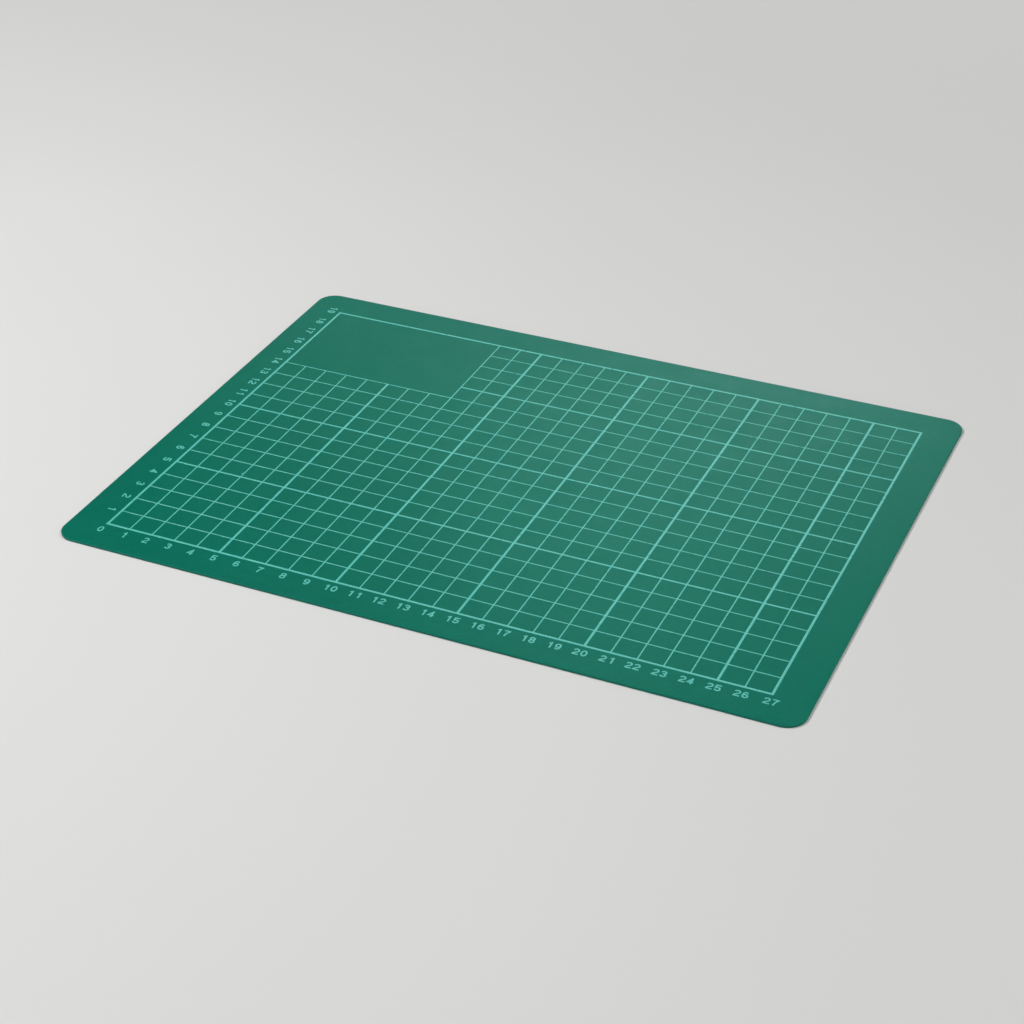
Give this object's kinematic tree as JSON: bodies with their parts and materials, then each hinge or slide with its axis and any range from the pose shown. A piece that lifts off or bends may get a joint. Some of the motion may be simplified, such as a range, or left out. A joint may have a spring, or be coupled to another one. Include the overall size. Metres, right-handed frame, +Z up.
{
  "type": "cutting mat",
  "caption": "Thin rectangular self-healing cutting mat with rounded corners, a bonded vinyl sandwich printed with a ruled centimetre grid and a bare title block.",
  "frame": {"origin": "middle of the underside", "axes": "+X along the long front edge, in the direction the ruled numbers grow; +Y from the front edge to the back one; +Z up out of the printed face"},
  "size_m": [0.3, 0.22, 0.001],
  "materials": {
    "vinyl": "matte, finely pebbled soft vinyl",
    "core_vinyl": "plain die-cut edge of harder vinyl",
    "ink": "screen-printed ink film"
  },
  "bodies": {
    "root": {"base_sheet": "vinyl", "core_sheet": "core_vinyl", "top_sheet": "vinyl", "printed_grid": "ink"}
  },
  "joints": []
}
